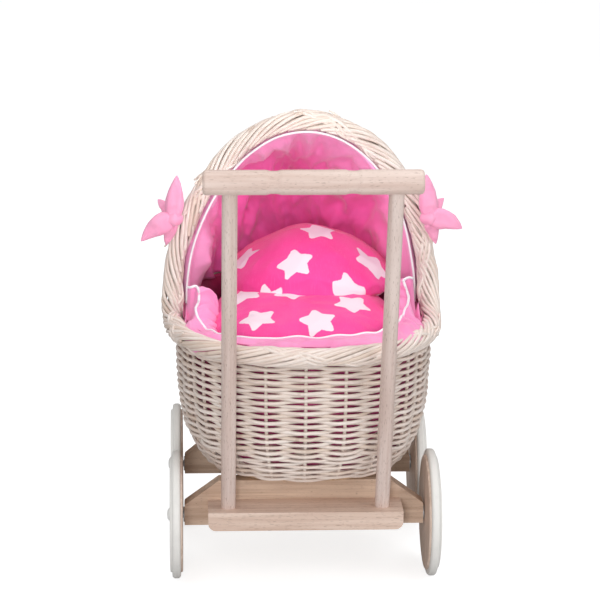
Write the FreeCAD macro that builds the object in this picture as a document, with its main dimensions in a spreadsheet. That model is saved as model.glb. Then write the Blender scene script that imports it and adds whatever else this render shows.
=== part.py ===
import FreeCAD, Part
import math
import os

import Sketcher
from FreeCAD import Placement, Rotation, Vector

# A doll's pram: a wicker basket with a woven hood, on two wooden cross beams with four
# wooden wheels, pushed by a leaning wooden handle. Millimetres, +Z up, +X to the right,
# the handle at -Y and the hood at +Y. The origin is on the ground, in the middle.

DIMENSIONS = {
    # wheels
    "wheel_radius": 75,
    "track": 300,
    "rear_axle_y": -76,
    "wheelbase": 180,
    "disc_radius": 68,
    "disc_thickness": 15,
    "disc_edge_round": 2.2,
    "tyre_seat_radius": 62,
    "tread_width": 10,
    "bush_radius": 8,
    "bush_length": 9.5,
    "axle_radius": 4,
    "running_clearance": 0.05,
    "axle_depth": 38,
    "screw_head_radius": 6,
    "screw_head_height": 3,
    "cap_radius": 7.8,
    "cap_rise": 3.5,
    "cap_wall": 1.2,
    "washer_radius": 9,
    "washer_thickness": 1.2,
    # cross beams
    "beam_length": 281,
    "beam_thickness": 20,
    "beam_bottom": 65,
    "beam_top": 120,
    "beam_flat": 200,
    "rear_beam_end": 25,
    "front_beam_end": 21,
    # handle
    "lath_length": 226,
    "lath_depth": 47,
    "lath_height": 22,
    "lath_top": 97,
    "lath_corner": 9,
    "dowel_radius": 8.5,
    "dowel_spacing": 179,
    "dowel_foot_y": -112.5,
    "dowel_sink": 14,
    "grip_y": -241,
    "grip_height": 512,
    "grip_radius": 13.5,
    "grip_length": 237,
    "grip_end_round": 4,
    "cove_spacing": 85,
    "cove_width": 17,
    "cove_depth": 1.2,
    # basket
    "base_thickness": 8,
    "base_half_width": 119,
    "base_half_length": 142,
    "basket_mid_y": 44,
    "rim_half_width": 154,
    "rim_half_length": 196,
    "rim_height": 300,
    "wall_thickness": 12,
    "border_radius": 12,
    "border_half_width": 155,
    "border_half_length": 203,
    "border_height": 292,
    "border_sweep": 60,
    "border_gap": 0.8,
    # hood
    "hood_half_width": 163,
    "hood_length": 210.5,
    "hood_rise": 230,
    "arch_rise": 222,
    # textiles
    "lining_thickness": 3,
    "lining_gap": 0.6,
    "lining_rise": 10,
    "hood_lining_inset": 24,
    "piping_radius": 1.25,
    "mattress_height": 30,
    "duvet_top": 318,
    "duvet_half_width": 112,
    "duvet_foot_y": -112,
    "duvet_head_y": 84,
    "pillow_half_width": 92,
    "pillow_half_depth": 68,
    "pillow_half_height": 34,
    "pillow_mid_y": 62,
    "bow_reach": 190,
    "bow_mid_y": 22,
    "bow_mid_height": 415,
    "bow_knot_x": 151,
    "bow_knot_radius": 7,
    "bow_loop_radius": 13,
    "bow_depth": 30,
    "bow_upper_rise": 44,
    "bow_lower_drop": 24,
}

WHEELS = {
    "rear_left": (-1, 0),
    "rear_right": (1, 0),
    "front_left": (-1, 1),
    "front_right": (1, 1),
}

doc = FreeCAD.newDocument("doll_pram")
sheet = doc.addObject("Spreadsheet::Sheet", "Dimensions")
for row, (alias, value) in enumerate(DIMENSIONS.items(), start=1):
    sheet.set(f"A{row}", alias)
    sheet.set(f"B{row}", str(value))
    sheet.setAlias(f"B{row}", alias)
doc.recompute()

kept = []


def size(alias):
    """A driving dimension as the sheet holds it."""
    return float(getattr(sheet, alias))


def bind(text):
    """An expression in which each driving dimension is read from the sheet."""
    words = "".join(c if c.isalnum() or c == "_" else " " for c in text).split()
    for word in sorted(set(words) & set(DIMENSIONS), key=len, reverse=True):
        text = replace_word(text, word, "Dimensions." + word)
    return text


def replace_word(text, word, new):
    """text with each whole word changed to new, leaving longer names alone."""
    out, start = "", 0
    while True:
        at = text.find(word, start)
        if at < 0:
            return out + text[start:]
        before = text[at - 1] if at else " "
        end = at + len(word)
        after = text[end] if end < len(text) else " "
        whole = not (before.isalnum() or before in "._") and not (after.isalnum() or after == "_")
        out += text[start:at] + (new if whole else word)
        start = end


def number(text):
    """The value of an expression in the driving dimensions."""
    return float(sheet.evalExpression(bind(text).replace("Dimensions.", "")))


def keep(obj, name, at=None):
    """Names a finished sub-part, and places it where it isn't already in place."""
    obj.Label = name
    if at is not None:
        obj.Placement = at
    kept.append(obj)
    return obj


def new_body(name):
    body = doc.addObject("PartDesign::Body", name + "_body")
    doc.recompute()
    return body


def new_sketch(body, role, corners):
    """A closed outline on one of the body's origin planes. Each corner is a pair of
    expressions, and each is fixed to the sheet by its distances from the origin."""
    plane = next(f for f in body.Origin.OriginFeatures if f.Role == role)
    sketch = body.newObject("Sketcher::SketchObject", body.Name + "_sketch")
    sketch.AttachmentSupport = [(plane, "")]
    sketch.MapMode = "FlatFace"
    points = [Vector(number(u), number(v), 0) for u, v in corners]
    for i, point in enumerate(points):
        following = points[(i + 1) % len(points)]
        sketch.addGeometry(Part.LineSegment(point, following), False)
    for i in range(len(points)):
        sketch.addConstraint(Sketcher.Constraint("Coincident", i, 2, (i + 1) % len(points), 1))
    for i, (u, v) in enumerate(corners):
        for kind, text, axis in (("DistanceX", u, -2), ("DistanceY", v, -1)):
            value = number(text)
            if abs(value) < 1e-9:
                sketch.addConstraint(Sketcher.Constraint("PointOnObject", i, 1, axis))
                continue
            made = sketch.addConstraint(Sketcher.Constraint(kind, -1, 1, i, 1, value))
            sketch.setExpression(f"Constraints[{made}]", bind(text))
    doc.recompute()
    return sketch


def turned_body(name, corners):
    """A body turned about the vertical sketch axis of the XZ plane."""
    body = new_body(name)
    sketch = new_sketch(body, "XZ_Plane", corners)
    turn = body.newObject("PartDesign::Revolution", name + "_turn")
    turn.Profile = sketch
    turn.ReferenceAxis = (sketch, ["V_Axis"])
    turn.Angle = 360
    doc.recompute()
    return body


def rounded(body, edges, radius):
    """Rounds edges of the body's tip."""
    base = body.Tip
    fillet = body.newObject("PartDesign::Fillet", body.Name + "_round")
    fillet.Base = (base, edges)
    fillet.setExpression("Radius", bind(radius))
    doc.recompute()
    return body


def edges_where(shape, test):
    return [f"Edge{i}" for i, edge in enumerate(shape.Edges, start=1) if test(edge)]


def cylinder(name, radius, height, at):
    made = doc.addObject("Part::Cylinder", name)
    made.setExpression("Radius", bind(radius))
    made.setExpression("Height", bind(height))
    made.Placement = at
    return made


def cut(name, base, tools):
    """base minus each tool in turn."""
    for i, tool in enumerate(tools):
        made = doc.addObject("Part::Cut", f"{name}_cut_{i}")
        made.Base = base
        made.Tool = tool
        base = made
    doc.recompute()
    return base


def solid_feature(name, shape):
    """A sub-part whose shape has no sketch: its sizes come from the sheet above."""
    made = doc.addObject("Part::Feature", name + "_solid")
    made.Shape = shape
    return keep(made, name)


# ---------------------------------------------------------------- wheels

def wheel_place(side, end):
    """Turns a piece modelled along +Z so that +Z points outwards, at a wheel's centre."""
    outwards = Rotation(Vector(0, 0, 1), Vector(side, 0, 0))
    y = size("rear_axle_y") + end * size("wheelbase")
    return Placement(Vector(side * size("track") / 2, y, size("wheel_radius")), outwards)


def make_disc(name):
    """Wooden disc with rounded edges and a shallow seat for the tyre, along +Z."""
    half = "disc_thickness / 2"
    seat = "tread_width / 2"
    body = turned_body(name, [
        ("bush_radius", f"-({half})"),
        ("disc_radius", f"-({half})"),
        ("disc_radius", f"-({seat})"),
        ("tyre_seat_radius", f"-({seat})"),
        ("tyre_seat_radius", seat),
        ("disc_radius", seat),
        ("disc_radius", half),
        ("bush_radius", half),
    ])
    rim, face = size("disc_radius"), size("disc_thickness") / 2
    corners = edges_where(body.Shape, lambda e: on_circle(e, rim, face) or on_circle(e, rim, -face))
    return rounded(body, corners, "disc_edge_round")


def on_circle(edge, radius, height):
    curve = edge.Curve
    if not isinstance(curve, Part.Circle):
        return False
    return abs(curve.Radius - radius) < 0.01 and abs(curve.Center.z - height) < 0.01


def make_tyre(name):
    """Rubber ring in the disc's seat, with a rounded tread that stands proud of the disc."""
    seat = "tread_width / 2"
    body = turned_body(name, [
        ("tyre_seat_radius", f"-({seat})"),
        ("wheel_radius", f"-({seat})"),
        ("wheel_radius", seat),
        ("tyre_seat_radius", seat),
    ])
    outer, half = size("wheel_radius"), size("tread_width") / 2
    corners = edges_where(body.Shape, lambda e: on_circle(e, outer, half) or on_circle(e, outer, -half))
    return rounded(body, corners, "tread_width * 0.36")


def make_bush(name):
    """Plastic bush, flush with the disc's inner face, that turns on the axle screw."""
    inner_face = "-(disc_thickness / 2)"
    return turned_body(name, [
        ("axle_radius + running_clearance", inner_face),
        ("bush_radius", inner_face),
        ("bush_radius", f"{inner_face} + bush_length"),
        ("axle_radius + running_clearance", f"{inner_face} + bush_length"),
    ])


def make_cap(name):
    """Domed cap whose skirt plugs the disc's bore and clears the screw's head."""
    face = "disc_thickness / 2"
    return turned_body(name, [
        ("0", f"{face} + cap_rise - cap_wall"),
        ("cap_radius * 0.45", f"{face} + cap_rise - cap_wall"),
        ("cap_radius - cap_wall", face),
        ("cap_radius - cap_wall", f"{face} - 4.5"),
        ("cap_radius", f"{face} - 4.5"),
        ("cap_radius", f"{face} + 0.6"),
        ("cap_radius * 0.9", f"{face} + cap_rise * 0.5"),
        ("cap_radius * 0.6", f"{face} + cap_rise * 0.88"),
        ("0", f"{face} + cap_rise"),
    ])


for place, (side, end) in WHEELS.items():
    at = wheel_place(side, end)
    keep(make_disc("wheel_disc_" + place), "wheel_disc_" + place, at)
    keep(make_tyre("tyre_" + place), "tyre_" + place, at)
    keep(make_bush("hub_bush_" + place), "hub_bush_" + place, at)
    keep(make_cap("hub_cap_" + place), "hub_cap_" + place, at)


def axle_screw(side, end):
    """Plain shank from inside the beam, through the washer and bush, with a round head."""
    at = wheel_place(side, end)
    face = size("disc_thickness") / 2
    head_start = -face + size("bush_length") + 0.4
    beam_end = size("beam_length") / 2 - size("track") / 2
    start = beam_end - size("axle_depth")
    shank = Part.makeCylinder(size("axle_radius"), head_start - start, Vector(0, 0, start))
    head_at = Vector(0, 0, head_start)
    head = Part.makeCylinder(size("screw_head_radius"), size("screw_head_height"), head_at)
    screw = shank.fuse(head).removeSplitter()
    screw.Placement = at
    return screw


def axle_washer(side, end):
    """Washer on the shank, against the end of the beam."""
    start = size("beam_length") / 2 - size("track") / 2
    ring = Part.makeCylinder(size("washer_radius"), size("washer_thickness"), Vector(0, 0, start))
    hole = Part.makeCylinder(size("axle_radius"), size("washer_thickness"), Vector(0, 0, start))
    washer = ring.cut(hole)
    washer.Placement = wheel_place(side, end)
    return washer


solid_feature("axle_screws", Part.makeCompound([axle_screw(*w) for w in WHEELS.values()]))
solid_feature("axle_washers", Part.makeCompound([axle_washer(*w) for w in WHEELS.values()]))

# ---------------------------------------------------------------- cross beams

BASKET_SCREW_X = 60
BASKET_SCREW_RADIUS = 2
BASKET_SCREW_DEPTH = 30
BASKET_SCREW_HEAD = 3.5
BASKET_SCREW_HEAD_HEIGHT = 1
LATH_SCREW_XS = (-70, 0, 70)
LATH_SCREW_RADIUS = 2
LATH_SCREW_HEAD = 4
LATH_SCREW_SINK = 3
LATH_SCREW_BITE = 28


def make_beam(name, end_height):
    """Board on edge: upright ends, slanted shoulders and a flat top, extruded in Y."""
    body = new_body(name)
    sketch = new_sketch(body, "XZ_Plane", [
        ("-(beam_length / 2)", "beam_bottom"),
        ("beam_length / 2", "beam_bottom"),
        ("beam_length / 2", f"beam_bottom + {end_height}"),
        ("beam_flat / 2", "beam_top"),
        ("-(beam_flat / 2)", "beam_top"),
        ("-(beam_length / 2)", f"beam_bottom + {end_height}"),
    ])
    pad = body.newObject("PartDesign::Pad", name + "_pad")
    pad.Profile = sketch
    pad.setExpression("Length", bind("beam_thickness"))
    pad.Midplane = True
    doc.recompute()
    end_top = size("beam_bottom") + size(end_height)
    ends = edges_where(body.Shape, lambda e: is_level(e, size("beam_length") / 2, end_top))
    return rounded(body, ends, "beam_thickness * 0.2")


def is_level(edge, x, z):
    """True for a straight edge along Y at that |x| and z."""
    a, b = edge.Vertexes[0].Point, edge.Vertexes[-1].Point
    return all(abs(abs(p.x) - x) < 0.01 and abs(p.z - z) < 0.01 for p in (a, b)) and abs(a.y - b.y) > 1


def axle_hole(name, side, y):
    inwards = Rotation(Vector(0, 0, 1), Vector(-side, 0, 0))
    at = Placement(Vector(side * size("beam_length") / 2, y, size("wheel_radius")), inwards)
    return cylinder(name, "axle_radius", "axle_depth", at)


def screw_hole(name, x, y):
    """Pilot hole for a basket screw, down from the beam's top."""
    hole = doc.addObject("Part::Cylinder", name)
    hole.Radius = BASKET_SCREW_RADIUS
    hole.Height = BASKET_SCREW_DEPTH
    hole.Placement = Placement(Vector(x, y, size("beam_top") - BASKET_SCREW_DEPTH), Rotation())
    return hole


def lath_screw(x):
    """Countersunk screw from the rear beam's inner face, through it and into the lath."""
    inner = size("rear_axle_y") + size("beam_thickness") / 2
    z = size("lath_top") - size("lath_height") / 2
    length = size("beam_thickness") + LATH_SCREW_BITE
    shank = Part.makeCylinder(LATH_SCREW_RADIUS, length, Vector(x, inner, z), Vector(0, -1, 0))
    head_at = Vector(x, inner, z)
    head = Part.makeCone(LATH_SCREW_HEAD, LATH_SCREW_RADIUS, LATH_SCREW_SINK, head_at, Vector(0, -1, 0))
    return shank.fuse(head).removeSplitter()


solid_feature("lath_screws", Part.makeCompound([lath_screw(x) for x in LATH_SCREW_XS]))
lath_screws = kept[-1]

BEAMS = ((0, "rear_cross_beam", "rear_beam_end"), (1, "front_cross_beam", "front_beam_end"))
for end, name, end_height in BEAMS:
    y = size("rear_axle_y") + end * size("wheelbase")
    board = make_beam(name, end_height)
    board.Placement = Placement(Vector(0, y, 0), Rotation())
    holes = [axle_hole(f"{name}_axle_{i}", side, y) for i, side in enumerate((-1, 1))]
    holes.append(screw_hole(name + "_pilot_left", -BASKET_SCREW_X, y))
    holes.append(screw_hole(name + "_pilot_right", BASKET_SCREW_X, y))
    if end == 0:
        holes.append(lath_screws)
    keep(cut(name, board, holes), name)

# ---------------------------------------------------------------- handle

foot = Vector(0, size("dowel_foot_y"), size("lath_top"))
top = Vector(0, size("grip_y"), size("grip_height"))
lean = (top - foot).normalize()


def dowel_place(side):
    start = foot - lean * size("dowel_sink")
    x = side * size("dowel_spacing") / 2
    return Placement(Vector(x, start.y, start.z), Rotation(Vector(0, 0, 1), lean))


def make_dowel(name, side):
    """Round upright, sunk in the lath below and in the grip above."""
    dowel = cylinder(name, "dowel_radius", "dowel_sink", dowel_place(side))
    reach = (top - foot).Length
    dowel.setExpression("Height", bind(f"dowel_sink + {reach} + 4"))
    return dowel


dowels = {s: make_dowel("handle_dowel_" + n, s) for s, n in ((-1, "left"), (1, "right"))}
doc.recompute()

lath_box = doc.addObject("Part::Box", "lath_box")
lath_box.setExpression("Length", bind("lath_length"))
lath_box.setExpression("Width", bind("lath_depth"))
lath_box.setExpression("Height", bind("lath_height"))
rear_face = size("rear_axle_y") - size("beam_thickness") / 2
lath_low = size("lath_top") - size("lath_height")
lath_corner = Vector(-size("lath_length") / 2, rear_face - size("lath_depth"), lath_low)
lath_box.Placement = Placement(lath_corner, Rotation())
doc.recompute()
lath_round = doc.addObject("Part::Fillet", "lath_round")
lath_round.Base = lath_box
low_ends = edges_where(lath_box.Shape, lambda e: is_level(e, size("lath_length") / 2, lath_low))
lath_round.Edges = [(int(e[4:]), size("lath_corner"), size("lath_corner")) for e in low_ends]
doc.recompute()
keep(cut("handle_lath", lath_round, [*dowels.values(), lath_screws]), "handle_lath")

grip_half, cove_at = "grip_length / 2", "cove_spacing / 2"
right_half = [
    (f"{cove_at} - cove_width / 2", "grip_radius"),
    (f"{cove_at} - cove_width / 4", "grip_radius - cove_depth * 0.8"),
    (cove_at, "grip_radius - cove_depth"),
    (f"{cove_at} + cove_width / 4", "grip_radius - cove_depth * 0.8"),
    (f"{cove_at} + cove_width / 2", "grip_radius"),
    (grip_half, "grip_radius"),
]
outline = [(f"-({u})", v) for u, v in reversed(right_half)] + right_half
turning = new_body("handle_grip")
grip_sketch = new_sketch(turning, "XZ_Plane", [(f"-({grip_half})", "0"), *outline, (grip_half, "0")])
grip_turn = turning.newObject("PartDesign::Revolution", "grip_turn")
grip_turn.Profile = grip_sketch
grip_turn.ReferenceAxis = (grip_sketch, ["H_Axis"])
grip_turn.Angle = 360
doc.recompute()
ends = edges_where(turning.Shape, lambda e: isinstance(e.Curve, Part.Circle)
                   and abs(abs(e.Curve.Center.x) - size("grip_length") / 2) < 0.01)
rounded(turning, ends, "grip_end_round")
turning.Placement = Placement(Vector(0, size("grip_y"), size("grip_height")), Rotation())
keep(cut("handle_grip", turning, list(dowels.values())), "handle_grip")
keep(dowels[-1], "handle_dowel_left")
keep(dowels[1], "handle_dowel_right")

# ---------------------------------------------------------------- basket

FOOT_POWER = 2.6
HEAD_POWER = 2.0
OUTLINE_POINTS = 40
BASE_SHIFT = 5
SWEEP_DRAW_IN = 1.5


def oval(half_width, half_length, middle_y, z):
    """Closed outline, squarer at the foot than at the head, as a smooth wire."""
    points = []
    for i in range(OUTLINE_POINTS):
        turn = 2 * math.pi * i / OUTLINE_POINTS
        c, s = math.cos(turn), math.sin(turn)
        power = 2 / (FOOT_POWER if s < 0 else HEAD_POWER)
        x = math.copysign(abs(c) ** power, c) * half_width
        y = math.copysign(abs(s) ** power, s) * half_length
        points.append(Vector(x, middle_y + y, z))
    curve = Part.BSplineCurve()
    curve.interpolate(points, PeriodicFlag=True)
    return Part.Wire([curve.toShape()])


def swell(level):
    """How far out the wall is, from 0 at the base to 1 at the rim: quick, then upright."""
    return 0.88 * (1 - (1 - level) ** 5) + 0.12 * level


def between(first, last, share):
    """A value part of the way from one driving dimension to another."""
    return size(first) + (size(last) - size(first)) * share


def basket_form(inset, low, high):
    """The basket's bowl form, inset by so much, between two heights."""
    base, rim = size("beam_top"), size("rim_height")
    wires = []
    steps = 7
    for i in range(steps + 1):
        share = (i / steps) ** 1.6
        z = low + (high - low) * share
        out = swell(min(1.0, max(0.0, (z - base) / (rim - base))))
        width = between("base_half_width", "rim_half_width", out) - inset
        length = between("base_half_length", "rim_half_length", out) - inset
        wires.append(oval(width, length, size("basket_mid_y") - BASE_SHIFT * (1 - out), z))
    return Part.makeLoft(wires, True, False)


def above_border(clearance):
    """What lies above the rim and in front of the hood's mouth, seen from the side."""
    z = size("border_height") - clearance
    sweep = size("border_sweep") + clearance
    y = size("basket_mid_y") - size("border_sweep")
    far = 600
    start = Vector(-far, -far, z)
    corner = Vector(-far, y, z)
    middle = Vector(-far, y + sweep * math.sin(math.pi / 4), z + sweep * (1 - math.cos(math.pi / 4)))
    upright = Vector(-far, y + sweep, z + sweep)
    end = Vector(-far, y + sweep, 2 * far)
    back = Vector(-far, -far, 2 * far)
    edges = [
        Part.LineSegment(start, corner).toShape(),
        Part.Arc(corner, middle, upright).toShape(),
        Part.LineSegment(upright, end).toShape(),
        Part.LineSegment(end, back).toShape(),
        Part.LineSegment(back, start).toShape(),
    ]
    return Part.Face(Part.Wire(edges)).extrude(Vector(2 * far, 0, 0))


def on_sweep(angle, side):
    """Point of the border's centre line where it turns up from the rim into the arch."""
    x = size("border_half_width") - SWEEP_DRAW_IN * angle
    y = size("basket_mid_y") - size("border_sweep") * (1 - math.sin(angle))
    z = size("border_height") + size("border_sweep") * (1 - math.cos(angle))
    return Vector(side * x, y, z)


def border_path():
    """Centre line of the border: round the foot, up each side, over the hood's mouth."""
    mid_y, low, sweep = size("basket_mid_y"), size("border_height"), size("border_sweep")
    width, length = size("border_half_width"), size("border_half_length")
    turn_y = mid_y - sweep
    points = []
    foot_steps, arch_steps = 13, 13
    reach = math.asin(((mid_y - turn_y) / length) ** (FOOT_POWER / 2))
    for i in range(foot_steps):
        angle = -math.pi + reach + (math.pi - 2 * reach) * i / (foot_steps - 1)
        c, s = math.cos(angle), math.sin(angle)
        x = math.copysign(abs(c) ** (2 / FOOT_POWER), c) * width
        y = -abs(s) ** (2 / FOOT_POWER) * length
        points.append(Vector(x, mid_y + y, low))
    arch_low = math.asin((low + sweep - size("rim_height")) / size("arch_rise"))
    points += [on_sweep(angle, 1) for angle in (math.pi / 6, math.pi / 3)]
    for i in range(arch_steps):
        angle = arch_low + (math.pi - 2 * arch_low) * i / (arch_steps - 1)
        z = size("rim_height") + size("arch_rise") * math.sin(angle)
        points.append(Vector(width * math.cos(angle), mid_y, z))
    points += [on_sweep(angle, -1) for angle in (math.pi / 3, math.pi / 6)]
    return points


def tube_along(points, radius, closed):
    """Tube of round sections set square to the path, ruled from one to the next."""
    wires = []
    count = len(points)
    for i, point in enumerate(points):
        before = points[(i - 1) % count] if closed or i else point
        after = points[(i + 1) % count] if closed or i < count - 1 else point
        along = (after - before).normalize()
        wires.append(Part.Wire([Part.Circle(point, along, radius).toShape()]))
    return Part.makeLoft(wires, True, True, closed)


def border_half(points):
    """Half of the border: a tube along a smooth open curve, cut square at its ends."""
    curve = Part.BSplineCurve()
    curve.interpolate(points)
    start = curve.FirstParameter
    ring = Part.Circle(curve.value(start), curve.tangent(start)[0], size("border_radius"))
    return Part.Wire([curve.toShape()]).makePipeShell([Part.Wire([ring.toShape()])], True, True)


path = border_path()
half_way = len(path) // 2
border = border_half(path[: half_way + 1]).fuse(border_half(path[half_way:] + path[:1])).Solids[0]
solid_feature("plaited_border", border)

floor_of_bowl = size("beam_top") + size("base_thickness")
solid_feature("basket_base", basket_form(0, size("beam_top"), floor_of_bowl))

ends_above = size("rim_height") + 0.01
bowl = basket_form(0, size("beam_top") + 0.01, ends_above)
hollow = basket_form(size("wall_thickness"), size("beam_top"), ends_above + 5)
trim = above_border(size("border_radius") + size("border_gap"))
slab = Part.makeBox(600, 800, floor_of_bowl, Vector(-300, -400, 0))
wall = bowl.cut(hollow).cut(trim).cut(slab)
QUARTERS = {"foot_left": (-1, -1), "foot_right": (1, -1), "head_left": (-1, 1), "head_right": (1, 1)}
QUARTER_BLOCK = 400
for quarter, (side, end) in QUARTERS.items():
    near = Vector(min(0, side) * QUARTER_BLOCK, size("basket_mid_y") + min(0, end) * QUARTER_BLOCK, 0)
    block = Part.makeBox(QUARTER_BLOCK, QUARTER_BLOCK, QUARTER_BLOCK, near)
    solid_feature("basket_wall_" + quarter, wall.common(block))

# ---------------------------------------------------------------- hood

HOOD_FLOOR_GAP = 0.3


def dome(inset, low):
    """Quarter of an egg: an arch at the mouth that closes towards the head end."""
    ball = Part.makeSphere(1.0)
    stretch = FreeCAD.Matrix()
    stretch.scale(
        size("hood_half_width") - inset,
        size("hood_length") - inset,
        size("hood_rise") - inset,
    )
    stretch.move(Vector(0, size("basket_mid_y"), size("rim_height")))
    keep_box = Part.makeBox(600, 600, 600, Vector(-300, size("basket_mid_y"), low))
    return ball.transformGeometry(stretch).common(keep_box)


hood_low = size("rim_height") + HOOD_FLOOR_GAP
hood = dome(0, hood_low).cut(dome(size("wall_thickness"), hood_low - 1)).cut(trim)
solid_feature("hood_shell", hood)

# ---------------------------------------------------------------- linings and piping

lining_out = size("wall_thickness") + size("lining_gap")
lining_in = lining_out + size("lining_thickness")
lining_low = floor_of_bowl + 0.3
bag = basket_form(lining_out, lining_low, ends_above)
bag = bag.cut(basket_form(lining_in, lining_low, ends_above + 5))
solid_feature("basket_lining", bag.cut(above_border(-size("lining_rise"))))
cover_out = size("hood_lining_inset")
cover_in = cover_out + size("lining_thickness")
solid_feature("hood_lining", dome(cover_out, hood_low + 0.4).cut(dome(cover_in, hood_low - 1)))


def hood_piping_path():
    """Arch inside the border, along the front edge of the hood's lining."""
    inset = (cover_out + cover_in) / 2
    y = size("basket_mid_y") - size("piping_radius")
    steps = 16
    low = math.asin(0.06)
    points = []
    for i in range(steps + 1):
        angle = low + (math.pi - 2 * low) * i / steps
        x = (size("hood_half_width") - inset) * math.cos(angle)
        points.append(Vector(x, y, size("rim_height") + (size("hood_rise") - inset) * math.sin(angle)))
    return points


def basket_piping_path():
    """Round the foot, along the top edge of the basket's lining."""
    inset = (lining_out + lining_in) / 2
    width, length = size("rim_half_width") - inset, size("rim_half_length") - inset
    z = size("border_height") + size("lining_rise") + size("piping_radius")
    steps = 20
    reach = math.asin(((size("border_sweep")) / length) ** (FOOT_POWER / 2))
    points = []
    for i in range(steps + 1):
        angle = -math.pi + reach + (math.pi - 2 * reach) * i / steps
        c, s = math.cos(angle), math.sin(angle)
        x = math.copysign(abs(c) ** (2 / FOOT_POWER), c) * width
        y = size("basket_mid_y") - abs(s) ** (2 / FOOT_POWER) * length
        points.append(Vector(x, y, z))
    return points


solid_feature("hood_piping", tube_along(hood_piping_path(), size("piping_radius"), False))
solid_feature("basket_piping", tube_along(basket_piping_path(), size("piping_radius"), False))

# ---------------------------------------------------------------- bedding

BEDDING_GAP = 1.5


def cushion(half_width, half_length, middle_y, low, high):
    """Rounded slab: drawn in at its foot and crowned on top."""
    rise = high - low
    layers = [(0.86, 0.0), (0.97, 0.2), (1.0, 0.5), (0.96, 0.82), (0.8, 1.0)]
    wires = [oval(half_width * k, half_length * k, middle_y, low + rise * at) for k, at in layers]
    return Part.makeLoft(wires, True, True)


mattress_low = floor_of_bowl + 1
mattress_high = mattress_low + size("mattress_height")
slim = size("base_half_width") - lining_in - BEDDING_GAP
slim_length = size("base_half_length") - lining_in - BEDDING_GAP
mattress_y = size("basket_mid_y") - BASE_SHIFT
solid_feature("mattress", cushion(slim, slim_length, mattress_y, mattress_low, mattress_high))
duvet_mid = (size("duvet_foot_y") + size("duvet_head_y")) / 2
duvet_half = (size("duvet_head_y") - size("duvet_foot_y")) / 2
solid_feature("duvet", cushion(size("duvet_half_width"), duvet_half, duvet_mid,
                               mattress_high + BEDDING_GAP, size("duvet_top")))
pillow_low = size("duvet_top") + 0.5
pillow_high = pillow_low + 2 * size("pillow_half_height")
solid_feature("pillow", cushion(size("pillow_half_width"), size("pillow_half_depth"),
                                size("pillow_mid_y"), pillow_low, pillow_high))

# ---------------------------------------------------------------- bows


def loop_of_bow(knot, tip, radius):
    """Plump loop from the knot to its tip: an egg drawn out along the way between them."""
    way = tip - knot
    egg = Part.makeSphere(1.0)
    stretch = FreeCAD.Matrix()
    stretch.scale(radius, size("bow_depth") / 2, way.Length / 2)
    egg = egg.transformGeometry(stretch)
    egg.Placement = Placement(knot + way * 0.5, Rotation(Vector(0, 0, 1), way))
    return egg


def bow(side):
    """Tied bow outside the border: an upper and a lower loop that meet in a knot."""
    y, z = size("bow_mid_y"), size("bow_mid_height")
    knot = Vector(side * size("bow_knot_x"), y, z)
    upper_tip = Vector(side * (size("bow_knot_x") - 2), y, z + size("bow_upper_rise"))
    lower_tip = Vector(side * (size("bow_reach") - 3), y, z - size("bow_lower_drop"))
    loops = [loop_of_bow(knot, tip, size("bow_loop_radius")) for tip in (upper_tip, lower_tip)]
    return Part.makeSphere(size("bow_knot_radius"), knot).fuse(loops).removeSplitter()


left_bow = bow(-1)
solid_feature("bow_left", left_bow)
solid_feature("bow_right", left_bow.mirror(Vector(0, 0, 0), Vector(1, 0, 0)))

# ---------------------------------------------------------------- basket screws


def basket_screw(x, y):
    """Round-head screw through the basket's base into the middle of a beam."""
    shank_low = size("beam_top") - BASKET_SCREW_DEPTH
    floor = size("beam_top") + size("base_thickness")
    shank = Part.makeCylinder(BASKET_SCREW_RADIUS, floor - shank_low, Vector(x, y, shank_low))
    head_at = Vector(x, y, floor - BASKET_SCREW_HEAD_HEIGHT)
    head = Part.makeCylinder(BASKET_SCREW_HEAD, BASKET_SCREW_HEAD_HEIGHT, head_at)
    return shank.fuse(head).removeSplitter()


beam_ys = (size("rear_axle_y"), size("rear_axle_y") + size("wheelbase"))
screws = [basket_screw(x, y) for y in beam_ys for x in (-BASKET_SCREW_X, BASKET_SCREW_X)]
solid_feature("basket_screws", Part.makeCompound(screws))
basket_base = next(o for o in kept if o.Label == "basket_base")
basket_base.Shape = basket_base.Shape.cut(kept[-1].Shape)

# ---------------------------------------------------------------- checks and export

doc.recompute()
for obj in doc.Objects:
    if {"Invalid", "Error"} & set(obj.State):
        raise RuntimeError(f"{obj.Label} failed: {obj.State}")
os.makedirs("parts", exist_ok=True)
for obj in kept:
    shape = obj.Shape
    if shape.isNull() or not shape.isValid():
        raise RuntimeError(f"{obj.Label} has no valid shape")
    print(f"{obj.Label:24s} {len(shape.Solids):2d} solids {shape.Volume / 1000:9.2f} cm3")
    shape.exportStep(f"parts/{obj.Label}.step")
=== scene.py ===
"""Looks for the doll's pram: willow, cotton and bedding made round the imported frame, in metres."""

import math

import bpy
import numpy as np
from mathutils import Matrix, Vector, noise


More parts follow.
